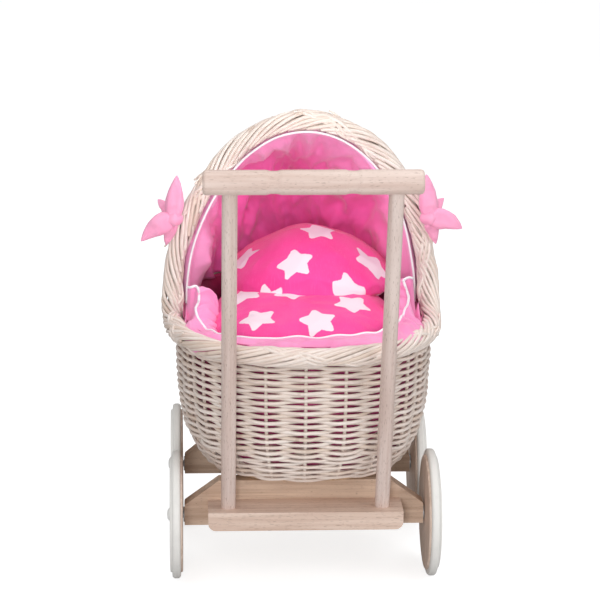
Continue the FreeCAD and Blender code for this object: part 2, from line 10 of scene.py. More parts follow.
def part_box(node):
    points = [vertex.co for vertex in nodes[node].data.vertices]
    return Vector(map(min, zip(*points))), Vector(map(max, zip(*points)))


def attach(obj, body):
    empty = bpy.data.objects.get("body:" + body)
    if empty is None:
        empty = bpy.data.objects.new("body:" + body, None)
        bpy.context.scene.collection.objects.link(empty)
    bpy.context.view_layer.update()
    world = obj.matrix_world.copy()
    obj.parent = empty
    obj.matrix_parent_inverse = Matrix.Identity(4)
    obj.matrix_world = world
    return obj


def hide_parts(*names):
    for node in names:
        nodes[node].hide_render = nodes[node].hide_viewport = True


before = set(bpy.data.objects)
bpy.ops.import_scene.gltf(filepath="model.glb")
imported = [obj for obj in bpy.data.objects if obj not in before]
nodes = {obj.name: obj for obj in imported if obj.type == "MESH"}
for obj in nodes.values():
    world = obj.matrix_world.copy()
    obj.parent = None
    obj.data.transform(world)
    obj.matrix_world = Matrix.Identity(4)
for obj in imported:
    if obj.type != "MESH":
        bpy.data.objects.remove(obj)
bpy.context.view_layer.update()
rng = np.random.default_rng(20)
TAU = 2 * math.pi

# ---------------------------------------------------------------- shapes shared with the CAD model

WALL_NODES = sorted(name for name in nodes if name.startswith("basket_wall"))
wall_boxes = [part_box(name) for name in WALL_NODES]
border_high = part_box("plaited_border")[1]
hood_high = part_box("hood_shell")[1]
base_low, base_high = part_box("basket_base")

MID_Y = 0.044
RIM_Z = 0.300
BASE_Z = base_low.z
BASE_HALF = (0.119, 0.142)
RIM_HALF = (max(high.x for low, high in wall_boxes), max(high.y for low, high in wall_boxes) - MID_Y)
HOOD_HALF = (hood_high.x, hood_high.y - MID_Y)
HOOD_RISE = 0.230
FOOT_POWER = 2.6
BORDER_RADIUS = 0.012
BORDER_HALF = (border_high.x - BORDER_RADIUS, 0.203)
BORDER_Z = 0.292
SWEEP = 0.060
ARCH_RISE = border_high.z - BORDER_RADIUS - RIM_Z


def ease(x):
    x = np.clip(x, 0, 1)
    return x * x * (3 - 2 * x)


def lean(points):
    """The hood's crown leans a little to the right of the person pushing, as hand-woven hoods do."""
    moved = np.array(points, float)
    moved[..., 0] += 0.005 * ease((moved[..., 2] - 0.35) / 0.12)
    return moved


def section(z):
    """Half width, half length and middle of the basket and hood's outside at a height."""
    level = np.clip((z - BASE_Z) / (RIM_Z - BASE_Z), 0, 1)
    out = 0.88 * (1 - (1 - level) ** 5) + 0.12 * level
    inside = np.sqrt(np.clip(1 - ((z - RIM_Z) / HOOD_RISE) ** 2, 1e-6, 1))
    share = ease((z - 0.275) / 0.06)
    width, length = (
        (base + (rim - base) * out) * (1 - share) + hood * inside * share
        for base, rim, hood in zip(BASE_HALF, RIM_HALF, HOOD_HALF)
    )
    return width, length, MID_Y - 0.005 * (1 - out)


def shell(theta, z, inset=0.0):
    """Points of the basket and hood's outside, drawn in by inset."""
    c, s = np.cos(theta), np.sin(theta)
    power = np.where(s < 0, 2 / FOOT_POWER, 1.0)
    width, length, mid = section(z)
    x = np.sign(c) * np.abs(c) ** power * (width - inset)
    y = mid + np.sign(s) * np.abs(s) ** power * (length - inset)
    x = x + 0.0022 * (1 - ease((z - 0.275) / 0.06))
    return np.stack([x, y, z + 0 * x], -1)


def unit(v):
    return v / np.maximum(np.linalg.norm(v, axis=-1, keepdims=True), 1e-12)


def wobble(share, low, high, amount, terms=4):
    """Smooth closed unevenness along a share from 0 to 1."""
    out = 0 * share
    for _ in range(terms):
        out = out + np.sin(TAU * (rng.integers(low, high + 1) * share + rng.random()))
    return out * amount / math.sqrt(terms)


# ---------------------------------------------------------------- mesh builders


def dress(piece, finish, *stands_for):
    """Attaches a piece of the pram to its body and hides the CAD nodes it stands for. The finish argument is
    not used.
    """
    if stands_for:
        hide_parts(*stands_for)
    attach(piece, "pram")


def finish_mesh(name, verts, faces, attributes, material, smooth=True):
    mesh = bpy.data.meshes.new(name)
    mesh.from_pydata(np.asarray(verts).tolist(), [], faces)
    mesh.polygons.foreach_set("use_smooth", [smooth] * len(mesh.polygons))
    for key, values in attributes.items():
        kind = "FLOAT" if np.ndim(values) == 1 else "FLOAT_VECTOR"
        slot = "value" if kind == "FLOAT" else "vector"
        data = mesh.attributes.new(key, kind, "POINT").data
        data.foreach_set(slot, np.asarray(values, np.float32).ravel())
    mesh.materials.append(material)
    mesh.update()
    piece = bpy.data.objects.new(name, mesh)
    bpy.context.scene.collection.objects.link(piece)
    return piece


def rods_piece(name, rods, material, sides=7):
    """One mesh of many round rods. A rod is (points, radii, ups, closed)."""
    verts, faces, tones, along = [], [], [], []
    base = 0
    turn = TAU * np.arange(sides) / sides
    for points, radii, ups, closed in rods:
        count = len(points)
        radii = np.broadcast_to(radii, count)
        if closed:
            tangent = np.roll(points, -1, 0) - np.roll(points, 1, 0)
        else:
            tangent = np.gradient(points, axis=0)
        tangent = unit(tangent)
        side = unit(np.cross(tangent, ups))
        up = np.cross(side, tangent)
        spoke = np.cos(turn)[None, :, None] * side[:, None, :] + np.sin(turn)[None, :, None] * up[:, None, :]
        verts.append((points[:, None, :] + radii[:, None, None] * spoke).reshape(-1, 3))
        i = np.arange(count if closed else count - 1)[:, None]
        j = np.arange(sides)[None, :]
        after = (j + 1) % sides
        below = ((i + 1) % count) * sides
        ring, following = base + i * sides, base + below
        quads = np.stack([ring + j, following + j, following + after, ring + after], -1)
        faces.extend(quads.reshape(-1, 4).tolist())
        steps = np.linalg.norm(np.diff(points, axis=0), axis=1)
        length = np.concatenate([[0], np.cumsum(steps)])
        tone = rng.random()
        key = rng.random() * 40
        tones.append(np.full(count * sides, tone))
        grid = np.zeros((count, sides, 3))
        grid[..., 0] = length[:, None]
        grid[..., 1] = key + np.cos(turn)[None, :] * 0.002
        grid[..., 2] = np.sin(turn)[None, :] * 0.002
        along.append(grid.reshape(-1, 3))
        base += count * sides
        if not closed:
            ends = [points[0] - tangent[0] * radii[0] * 0.35, points[-1] + tangent[-1] * radii[-1] * 0.35]
            verts.append(np.array(ends))
            tones.append(np.full(2, tone))
            along.append(np.array([[0, key, 0], [length[-1], key, 0]]))
            first, last = base - count * sides, base - sides
            for k in range(sides):
                nxt = (k + 1) % sides
                faces.append([base, first + k, first + nxt])
                faces.append([base + 1, last + nxt, last + k])
            base += 2
    return finish_mesh(
        name,
        np.concatenate(verts),
        faces,
        {"tone": np.concatenate(tones), "rod": np.concatenate(along)},
        material,
    )


def sheet_piece(name, points, material, closed=False, thickness=0.0, seam=False):
    """Cloth through an array of points [u][v], with its own flat coordinates for the weave."""
    rows, columns = points.shape[:2]
    faces = []
    for i in range(rows if closed else rows - 1):
        below = (i + 1) % rows
        for j in range(columns - 1):
            a, b = i * columns + j, below * columns + j
            faces.append([a, b, b + 1, a + 1])
    u = np.linalg.norm(np.diff(points, axis=0), axis=2).mean(1)
    v = np.linalg.norm(np.diff(points, axis=1), axis=2).mean(0)
    flat = np.zeros((rows, columns, 3))
    flat[..., 0] = np.concatenate([[0], np.cumsum(u)])[:rows, None]
    flat[..., 1] = np.concatenate([[0], np.cumsum(v)])[None, :]
    piece = finish_mesh(name, points.reshape(-1, 3), faces, {"cloth": flat.reshape(-1, 3)}, material)
    if seam:
        weld = piece.modifiers.new("seam", "WELD")
        weld.merge_threshold = 0.00005
    if thickness:
        solid = piece.modifiers.new("thickness", "SOLIDIFY")
        solid.thickness = thickness
        solid.offset = 0
    return piece


# ---------------------------------------------------------------- materials


def srgb(red, green, blue):
    linear = [((c / 255 + 0.055) / 1.055) ** 2.4 if c > 10 else c / 3294.6 for c in (red, green, blue)]
    return (*linear, 1.0)


class Nodes:
    """Short ways to add and join the nodes of a tree."""

    def __init__(self, tree):
        self.tree = tree

    def give(self, socket, value):
        if isinstance(value, bpy.types.NodeSocket):
            self.tree.links.new(value, socket)
        else:
            socket.default_value = value

    def add(self, kind, settings=(), **inputs):
        made = self.tree.nodes.new("ShaderNode" + kind)
        for key, value in dict(settings).items():
            setattr(made, key, value)
        for key, value in inputs.items():
            numbered = key[0] == "n" and key[1:].isdigit()
            self.give(made.inputs[int(key[1:]) if numbered else key.replace("_", " ")], value)
        return made

    def math(self, operation, a, b=0.0, c=0.0):
        return self.add("Math", {"operation": operation}, n0=a, n1=b, n2=c).outputs[0]

    def times(self, a, b):
        return self.math("MULTIPLY", a, b)

    def plus(self, a, b):
        return self.math("ADD", a, b)

    def split(self, vector):
        return self.add("SeparateXYZ", Vector=vector).outputs

    def ramp(self, value, low, high):
        made = self.add("MapRange", {"interpolation_type": "SMOOTHSTEP"}, Value=value)
        made.inputs["From Min"].default_value = low
        made.inputs["From Max"].default_value = high
        return made.outputs["Result"]

    def mix(self, share, a, b):
        return self.add("Mix", {"data_type": "RGBA"}, n0=share, n6=a, n7=b).outputs[2]

    def noise(self, vector, scale, detail=3.0, roughness=0.55):
        made = self.add("TexNoise", Vector=vector, Scale=scale, Detail=detail, Roughness=roughness)
        return made.outputs["Fac"]

    def stretched(self, vector, scale, rotation=(0, 0, 0)):
        return self.add("Mapping", Vector=vector, Rotation=rotation, Scale=scale).outputs[0]

    def attribute(self, name, output="Vector"):
        return self.add("Attribute", {"attribute_name": name}).outputs[output]

    def place(self):
        return self.add("TexCoord").outputs["Object"]


class Finish(Nodes):
    """A node material that is put together step by step."""

    def __init__(self, name, **settings):
        self.material = bpy.data.materials.new(name)
        self.material.use_nodes = True
        super().__init__(self.material.node_tree)
        self.shader = self.tree.nodes["Principled BSDF"]
        for key, value in settings.items():
            self.shader.inputs[key.replace("_", " ")].default_value = value

    def out(self, socket, value):
        self.tree.links.new(value, self.shader.inputs[socket])

    def bump(self, height, distance, strength=1.0):
        made = self.add("Bump", Height=height, Distance=distance, Strength=strength)
        self.out("Normal", made.outputs[0])


def wicker_finish():
    """Peeled and bleached willow: each rod has its own tone, fine long streaks and a few darker nodes."""
    m = Finish("wicker", Roughness=0.48)
    rod = m.attribute("rod")
    tone = m.attribute("tone", "Fac")
    streak = m.noise(m.stretched(rod, (60, 1500, 1500)), 1.0, 4.0)
    patch = m.noise(m.stretched(rod, (22, 3, 3)), 1.0, 2.0)
    knots = m.ramp(m.noise(m.stretched(rod, (45, 8, 8)), 1.0, 1.0), 0.70, 0.78)
    base = m.mix(tone, srgb(237, 222, 212), srgb(248, 238, 231))
    base = m.mix(m.ramp(streak, 0.45, 0.75), base, srgb(224, 203, 189))
    base = m.mix(m.ramp(patch, 0.5, 0.8), base, srgb(228, 208, 197))
    base = m.mix(m.times(m.ramp(tone, 0.82, 0.94), 0.6), base, srgb(216, 192, 172))
    base = m.mix(m.times(knots, 0.45), base, srgb(178, 148, 128))
    m.out("Base Color", base)
    m.out("Roughness", m.math("MULTIPLY_ADD", streak, 0.25, 0.35))
    m.bump(streak, 0.0003, 0.5)
    return m.material


def wood_finish(name, pale, dark, grain, fleck=0.35, rotation=(0, 0, 0), white_from=None):
    """Unvarnished beech: long grain along one axis, short dark flecks and soft tone changes."""
    m = Finish(name, Roughness=0.55)
    place = m.place()
    if rotation != (0, 0, 0):
        place = m.stretched(place, (1, 1, 1), rotation)
    along = {"x": (1, 0, 0), "y": (0, 1, 0), "z": (0, 0, 1)}[grain]

    def scaled(cross, length):
        return m.stretched(place, tuple(length if a else cross for a in along))

    bands = m.noise(scaled(140, 5), 1.0, 4.0, 0.6)
    fibre = m.noise(scaled(900, 30), 1.0, 3.0)
    clouds = m.noise(scaled(30, 9), 1.0, 2.0)
    specks = m.ramp(m.noise(scaled(1500, 170), 1.0, 0.0), 0.69, 0.76)
    base = m.mix(m.ramp(bands, 0.35, 0.7), pale, dark)
    base = m.mix(m.times(m.ramp(fibre, 0.5, 0.8), 0.35), base, dark)
    deeper = tuple(c * 0.93 for c in dark[:3]) + (1,)
    base = m.mix(m.times(m.ramp(clouds, 0.45, 0.75), 0.35), base, deeper)
    base = m.mix(m.times(specks, fleck), base, srgb(120, 84, 62))
    rough = m.math("MULTIPLY_ADD", fibre, 0.3, 0.42)
    if white_from is not None:
        x = m.split(m.place())[0]
        painted = m.math("GREATER_THAN", m.math("ABSOLUTE", x), white_from)
        base = m.mix(painted, base, srgb(240, 238, 234))
    m.out("Base Color", base)
    m.out("Roughness", rough)
    m.bump(m.plus(fibre, m.times(specks, -0.6)), 0.0002, 0.4)
    return m.material


def moulded_finish(name, colour, rough, grime=0.06):
    """Moulded plastic or rubber: faint mottling, a fine satin skin and slightly duller patches."""
    m = Finish(name)
    place = m.place()
    mottling = m.noise(place, 60.0, 3.0)
    skin = m.noise(place, 2400.0, 2.0)
    worn = tuple(c * 0.86 for c in colour[:3]) + (1,)
    m.out("Base Color", m.mix(m.times(m.ramp(mottling, 0.45, 0.75), grime * 6), colour, worn))
    m.out("Roughness", m.math("MULTIPLY_ADD", mottling, 0.18, rough))
    m.bump(skin, 0.00005, 0.5)
    return m.material


def steel_finish():
    """Zinc-plated steel: grey, with fine turned lines and small bright patches."""
    m = Finish("screw_steel", Metallic=1.0)
    place = m.place()
    lines = m.noise(m.stretched(place, (300, 4000, 4000)), 1.0, 2.0)
    patches = m.noise(place, 220.0, 2.0)
    m.out("Base Color", m.mix(patches, srgb(178, 180, 184), srgb(212, 213, 214)))
    m.out("Roughness", m.math("MULTIPLY_ADD", lines, 0.3, 0.22))
    m.bump(lines, 0.00004, 0.5)
    return m.material


def threads(m, cloth, pitch):
    """Height of a plain weave of threads at that pitch."""
    warp = m.split(m.stretched(cloth, (1 / pitch, 1 / pitch, 1)))
    across = m.math("SINE", m.times(warp[0], TAU))
    down = m.math("SINE", m.times(warp[1], TAU))
    return m.times(across, down)


def cotton_finish(name, light, deep, sheen=0.35, inside=None):
    """Plain-woven cotton: thread relief, slub, soft tone changes, and painted shade: a deeper tone further
    into the hood.
    """
    m = Finish(name, Roughness=0.75, Sheen_Weight=sheen, Sheen_Roughness=0.45)
    cloth = m.attribute("cloth")
    weave = threads(m, cloth, 0.0009)
    slub = m.noise(m.stretched(cloth, (700, 90, 1)), 1.0, 3.0)
    clouds = m.noise(cloth, 14.0, 3.0)
    base = m.mix(m.ramp(clouds, 0.35, 0.75), light, deep)
    base = m.mix(m.times(m.ramp(slub, 0.5, 0.8), 0.25), base, deep)
    # Painted shade: the colour deepens from the hood's mouth towards its back, where the inside of the hood
    # lies in shade.
    if inside is not None:
        far = m.split(m.place())[1]
        base = m.mix(m.ramp(far, 0.080, 0.180), base, inside)
    m.out("Base Color", base)
    m.out("Roughness", m.math("MULTIPLY_ADD", slub, 0.2, 0.65))
    height = m.plus(m.times(weave, 0.5), m.times(clouds, 1.5))
    m.bump(height, 0.0003, 0.35)
    return m.material


def star_group():
    """Node group: 1 inside a rounded five-pointed star of outer radius 1 at the origin, with soft edge."""
    group = bpy.data.node_groups.new("rounded_star", "ShaderNodeTree")
    group.interface.new_socket("Vector", in_out="INPUT", socket_type="NodeSocketVector")
    group.interface.new_socket("Fac", in_out="OUTPUT", socket_type="NodeSocketFloat")
    enter = group.nodes.new("NodeGroupInput")
    leave = group.nodes.new("NodeGroupOutput")
    g = Nodes(group)
    x, y, _ = g.split(enter.outputs[0])

    def product(a, b, c, d):
        """The sum of a times b and c times d."""
        return g.plus(g.times(a, b), g.times(c, d))

    step = TAU / 5
    turned_by = g.math("FLOORED_MODULO", g.plus(g.math("ARCTAN2", x, y), step / 2), step)
    folded = g.math("ABSOLUTE", g.math("SUBTRACT", turned_by, step / 2))
    far = g.math("SQRT", product(x, x, y, y))
    px = g.times(far, g.math("COSINE", folded))
    py = g.times(far, g.math("SINE", folded))
    round_by, tip, notch = 0.15, 0.85, 0.47
    dx, dy = notch * math.cos(step / 2) - tip, notch * math.sin(step / 2)
    long = math.hypot(dx, dy)
    dx, dy = dx / long, dy / long
    rx = g.math("SUBTRACT", px, tip)
    before = g.math("LESS_THAN", product(rx, dx, py, dy), 0.0)
    across = product(rx, dy, py, -dx)
    tip_far = g.math("SQRT", product(rx, rx, py, py))
    away = product(before, tip_far, g.math("SUBTRACT", 1.0, before), across)
    group.links.new(g.ramp(away, round_by + 0.02, round_by - 0.02), leave.inputs[0])
    return group


STAR = star_group()


def star_finish(name, stars):
    """Hot pink cotton printed with rounded white stars at (u, v, turn, radius) on the cloth."""
    m = Finish(name, Roughness=0.78, Sheen_Weight=0.25, Sheen_Roughness=0.5)
    cloth = m.attribute("cloth")
    weave = threads(m, cloth, 0.0008)
    slub = m.noise(m.stretched(cloth, (900, 120, 1)), 1.0, 3.0)
    clouds = m.noise(cloth, 16.0, 3.0)
    edge = m.add("TexNoise", Vector=cloth, Scale=260.0, Detail=2.0).outputs["Color"]
    shifted = m.add("VectorMath", {"operation": "MULTIPLY_ADD"}, n0=edge, n1=(0.0016, 0.0016, 0), n2=cloth)
    mask = 0.0
    for u, v, turn, radius in stars:
        spot = {"Location": (u, v, 0), "Rotation": (0, 0, turn), "Scale": (radius, radius, 1)}
        moved = m.add("Mapping", {"vector_type": "TEXTURE"}, Vector=shifted.outputs[0], **spot)
        star = m.add("Group", {"node_tree": STAR}, n0=moved.outputs[0])
        mask = m.math("MAXIMUM", star.outputs[0], mask)
    pink = m.mix(m.ramp(clouds, 0.35, 0.75), srgb(246, 66, 154), srgb(240, 48, 140))
    pink = m.mix(m.times(m.ramp(slub, 0.5, 0.8), 0.3), pink, srgb(250, 112, 186))
    m.out("Base Color", m.mix(mask, pink, srgb(243, 222, 232)))
    m.out("Roughness", m.math("MULTIPLY_ADD", slub, 0.2, 0.68))
    m.bump(m.plus(m.times(weave, 0.5), clouds), 0.0003, 0.35)
    return m.material


wicker = wicker_finish()
BEECH_PALE, BEECH_DARK = srgb(236, 216, 206), srgb(217, 191, 179)
BEAM_PALE, BEAM_DARK = srgb(218, 192, 170), srgb(190, 160, 138)
beech_x = wood_finish("beech_grip", BEECH_PALE, BEECH_DARK, "x")
lath_wood = wood_finish("beech_lath", srgb(232, 208, 193), srgb(208, 178, 160), "x")
beam_wood = wood_finish("beech_beam", BEAM_PALE, BEAM_DARK, "x")
white_plastic = moulded_finish("white_plastic", srgb(240, 239, 236), 0.38)
tyre_white = moulded_finish("tyre_rubber", srgb(238, 236, 232), 0.42)
steel = steel_finish()
ply = wood_finish("base_board", srgb(226, 200, 168), srgb(200, 168, 130), "y")
lining_pink = cotton_finish("lining_pink", srgb(253, 158, 206), srgb(249, 136, 192))
# Painted shade: the bag behind the weave is a darker copy of the lining pink, for the shade it lies in.
bag_pink_painted_shade = cotton_finish("bag_pink_painted_shade", srgb(206, 84, 138), srgb(184, 62, 116))
# Painted light and shade: the hood lining's pinks are a paler copy of the lining pink, standing in for light
# inside the hood, and the third colour is painted shade deeper in.
HOOD_PALE, HOOD_DEEP, HOOD_PAINTED_SHADE = srgb(255, 182, 226), srgb(254, 160, 214), srgb(255, 112, 194)
hood_pink_painted_light_and_shade = cotton_finish("hood_pink_painted_light_and_shade", HOOD_PALE, HOOD_DEEP, inside=HOOD_PAINTED_SHADE)
bow_pink = cotton_finish("bow_pink", srgb(252, 172, 206), srgb(247, 152, 194))
piping_white = cotton_finish("piping_white", srgb(250, 246, 249), srgb(240, 232, 240), 0.2)
ticking = cotton_finish("mattress_ticking", srgb(240, 234, 232), srgb(226, 218, 216), 0.2)

dowel_low, dowel_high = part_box("handle_dowel_left")
DOWEL_WIDE = 0.017
dowel_tilt = math.atan2(dowel_high.y - dowel_low.y - DOWEL_WIDE, dowel_high.z - dowel_low.z)
DOWEL_PALE, DOWEL_DARK = srgb(232, 214, 206), srgb(212, 188, 178)
dowel_wood = wood_finish("beech_dowel", DOWEL_PALE, DOWEL_DARK, "z", 0.4, rotation=(-dowel_tilt, 0, 0))


def paint(node, material):
    mesh = nodes[node].data
    mesh.materials.clear()
    mesh.materials.append(material)


WHEELS = ("rear_left", "rear_right", "front_left", "front_right")
for node, material in {
    "rear_cross_beam": beam_wood,
    "front_cross_beam": beam_wood,
    "handle_lath": lath_wood,
    "handle_dowel_left": dowel_wood,
    "handle_dowel_right": dowel_wood,
    "handle_grip": beech_x,
    "axle_screws": steel,
    "axle_washers": steel,
    "lath_screws": steel,
    "basket_screws": steel,
}.items():
    paint(node, material)
DISC_PALE, DISC_DARK = srgb(232, 212, 198), srgb(208, 182, 164)
for wheel in WHEELS:
    disc_low, disc_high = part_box("wheel_disc_" + wheel)
    middle = abs(disc_low.x + disc_high.x) / 2
    disc_wood = wood_finish("disc_" + wheel, DISC_PALE, DISC_DARK, "z", 0.3, white_from=middle)
    paint("wheel_disc_" + wheel, disc_wood)
    paint("tyre_" + wheel, tyre_white)
    paint("hub_bush_" + wheel, white_plastic)
    paint("hub_cap_" + wheel, white_plastic)

# ---------------------------------------------------------------- willow weaving

STAKES = 24
PER_STAKE = 9
WALL_MID = 0.0062
ROD = 0.00225
STAKE_ROD = 0.00215
SWING = 0.0042
PITCH = 0.00412
WALING_SWING = 0.0032
WALING_PITCH = 0.0036
WALING_TOP = 0.160

fine = np.linspace(0, TAU, 4001) - math.pi / 2
rim_line = shell(fine, np.full(4001, RIM_Z), WALL_MID)
run = np.concatenate([[0], np.cumsum(np.linalg.norm(np.diff(rim_line, axis=0), axis=1))])
shares = (np.arange(STAKES * PER_STAKE) / (STAKES * PER_STAKE) - 0.004 / run[-1]) % 1.0
thetas = np.interp(shares * run[-1], run, fine)
stake_phase = np.arange(STAKES * PER_STAKE) / PER_STAKE

over_rim = RIM_Z + HOOD_RISE * np.sin(np.linspace(0.002, 1.52, 400))
heights = np.concatenate([np.linspace(BASE_Z + 0.002, RIM_Z, 200), over_rim])
side = shell(np.zeros(len(heights)), heights, WALL_MID)
back = shell(np.full(len(heights), math.pi / 2), heights, WALL_MID)
step = sum(np.linalg.norm(np.diff(way, axis=0), axis=1) for way in (side, back)) / 2
climb = np.concatenate([[0], np.cumsum(step)])


def height_at(length):
    return np.interp(length, climb, heights)


def outward(theta, length):
    """Outward normal of the shell."""
    small = 0.0006
    a = shell(theta + 0.004, height_at(length)) - shell(theta - 0.004, height_at(length))
    b = shell(theta, height_at(length + small)) - shell(theta, height_at(length - small))
    return unit(np.cross(a, b))


def border_edge(z):
    """How far back the border lies at a height, where the weave above the rim begins."""
    rise = np.clip((z - BORDER_Z) / SWEEP, 0, 1)
    return MID_Y - SWEEP + SWEEP * np.sqrt(1 - (1 - rise) ** 2)


def weave_row(number, length, swing, rod, waling):
    """One rod woven once round the basket, or across the hood."""
    share = np.arange(len(thetas)) / len(thetas)
    wander = wobble(share, 5, 40, 0.00035)
    length = np.clip(length + wander, 0.0008, climb[-1] - 0.001)
    z = height_at(length)
    at = shell(thetas, z)
    normal = outward(thetas, length)
    if waling:
        beat = np.cos(TAU * (stake_phase + number) / 3)
    else:
        beat = np.cos(math.pi * (stake_phase + number))
    beat = beat + wobble(share, 8, 50, 0.10)
    points = at + normal * (swing * beat - WALL_MID)[:, None]
    radii = rod * (1 + wobble(share, 2, 12, 0.05))
    ups = np.broadcast_to((0.0, 0.0, 1.0), points.shape)
    return points, radii, ups, z


rim_climb = float(np.interp(BORDER_Z - 0.004, heights, climb))
rods = []
hood_rods = []
length, number = 0.002, 0
while length < climb[-1] - 0.002:
    z_mid = float(height_at(length))
    waling = z_mid < WALING_TOP
    rod = ROD * (0.86 if waling else rng.uniform(0.94, 1.06))
    pitch, swing = (WALING_PITCH, WALING_SWING) if waling else (PITCH, SWING)
    points, radii, ups, z = weave_row(number, length, swing, rod, waling)
    if z_mid < BORDER_Z - 0.003:
        rods.append((points, radii, ups, True))
    else:
        keep = points[:, 1] > border_edge(z) + 0.003
        keep &= np.sin(thetas) > -0.9
        first = int(np.argmax(~keep & np.roll(keep, -1)))
        order = (np.arange(len(keep)) + first + 1) % len(keep)
        order = order[keep[order]]
        if len(order) > 12:
            hood_rods.append((lean(points[order]), radii[order], ups[order], False))
    length += pitch
    number += 1

stake_rods = []
for k in range(STAKES):
    theta = thetas[k * PER_STAKE]
    in_hood = math.sin(theta) > 0.02
    top = climb[-1] - 0.004 - (0.05 if k % 2 else 0.0) if in_hood else rim_climb
    lengths = np.arange(0.0, top, 0.004)
    z = height_at(lengths)
    angle = np.full(len(z), theta)
    normal = outward(angle, lengths + 0.001)
    points = shell(angle, z) - normal * WALL_MID
    radii = STAKE_ROD * (1 - 0.18 * lengths / climb[-1])
    stake_rods.append((lean(points), radii, normal, False))

wall_weave = rods_piece("wall_weave", rods, wicker, 7)
dress(wall_weave, "wicker", *WALL_NODES)
hood_weave = rods_piece("hood_weave", hood_rods, wicker, 6)
dress(hood_weave, "wicker", "hood_shell")
stakes = rods_piece("willow_stakes", stake_rods, wicker, 8)
dress(stakes, "wicker")


def base_board():
    """Plywood floor of the basket, inside the weave."""
    around = np.linspace(0, TAU, 120, endpoint=False)
    rings = []
    top = base_high.z
    for z, inset in ((BASE_Z, 0.012), (BASE_Z + 0.001, 0.011), (top - 0.001, 0.011), (top, 0.012)):
        rings.append(shell(around, np.full(len(around), z), inset))
    count = len(around)
    faces = [list(range(count))[::-1], list(range(3 * count, 4 * count))]
    for i in range(3):
        for j in range(count):
            after = (j + 1) % count
            faces.append([i * count + j, i * count + after, (i + 1) * count + after, (i + 1) * count + j])
    return finish_mesh("base_board", np.concatenate(rings), faces, {}, ply, smooth=False)


dress(base_board(), "wicker", "basket_base")

# ---------------------------------------------------------------- plaited border


def border_line():
    """Closed centre line of the border, evenly spaced, with its width and face directions."""
    turn_y = MID_Y - SWEEP
    reach = math.asin((SWEEP / BORDER_HALF[1]) ** (FOOT_POWER / 2))
    t = np.linspace(-math.pi + reach, -reach, 240)
    c, s = np.cos(t), np.sin(t)
    foot = np.stack(
        [
            np.sign(c) * np.abs(c) ** (2 / FOOT_POWER) * BORDER_HALF[0],
            MID_Y - np.abs(s) ** (2 / FOOT_POWER) * BORDER_HALF[1],
            np.full(len(t), BORDER_Z),
        ],
        1,
    )
    a = np.linspace(0.04, math.pi / 2 - 0.04, 40)
    drawn_in = BORDER_HALF[0] - 0.0015 * a
    sweep = np.stack([drawn_in, turn_y + SWEEP * np.sin(a), BORDER_Z + SWEEP * (1 - np.cos(a))], 1)
    low = math.asin((BORDER_Z + SWEEP - RIM_Z) / ARCH_RISE)
    t = np.linspace(low, math.pi - low, 300)
    arch = np.stack([BORDER_HALF[0] * np.cos(t), np.full(len(t), MID_Y), RIM_Z + ARCH_RISE * np.sin(t)], 1)
    other = sweep[::-1] * (-1, 1, 1)
    line = np.concatenate([foot, sweep, arch, other])
    line = np.concatenate([line, line[:1]])
    run = np.concatenate([[0], np.cumsum(np.linalg.norm(np.diff(line, axis=0), axis=1))])
    count = int(run[-1] / 0.003)
    even = np.linspace(0, run[-1], count, endpoint=False)
    line = np.stack([np.interp(even, run, line[:, k]) for k in range(3)], 1)
    window = np.exp(-0.5 * (np.arange(-8, 9) / 3.5) ** 2)
    window /= window.sum()
    line = sum(w * np.roll(line, k, 0) for k, w in zip(range(-8, 9), window))
    tangent = unit(np.roll(line, -1, 0) - np.roll(line, 1, 0))
    share = ease((line[:, 2] - BORDER_Z) / SWEEP)[:, None]
    flat = unit(line - np.array([0, MID_Y, 0])) * (1, 1, 0)
    arch_out = unit((line - np.array([0, MID_Y, 0.36])) * (1, 0, 1))
    wide = unit(unit(flat) * (1 - share) + arch_out * share)
    wide = unit(wide - tangent * (wide * tangent).sum(1, keepdims=True))
    face = np.cross(wide, tangent)
    return line, tangent, wide, face, run[-1]


line, tangent, wide, face, border_run = border_line()
TURNS = 6
BUNDLES = 4
CORD_RADIUS = 0.0092


def around(start, stop, angle0, direction, radius):
    """Points of a rod that winds along the border between two shares of its length."""
    count = max(12, int(abs(stop - start) * border_run / 0.003))
    at = np.linspace(start, stop, count)
    spot = (at % 1.0) * len(line)
    low = np.floor(spot).astype(int) % len(line)
    part = (spot - np.floor(spot))[:, None]
    middle, w, f = (way[low] * (1 - part) + way[(low + 1) % len(line)] * part for way in (line, wide, face))
    w, f = unit(w), unit(f)
    angle = direction * TAU * TURNS * at + angle0
    away = radius(np.linspace(0, 1, count))
    squat = np.stack([np.cos(angle) * 1.12, np.sin(angle) * 0.94], 1)
    points = middle + w * (squat[:, 0] * away)[:, None] + f * (squat[:, 1] * away)[:, None]
    jitter = wobble(np.linspace(0, 1, count), 1, 6, 0.00035)
    return lean(points + w * jitter[:, None]), f


def over_and_under(lift):
    """How far a rod of that lift lies from the cord's middle, from its root under the plait to its end."""
    return lambda t: CORD_RADIUS + lift - 0.0036 * (1 - ease(t / 0.16)) - 0.0004 * ease((t - 0.8) / 0.2)


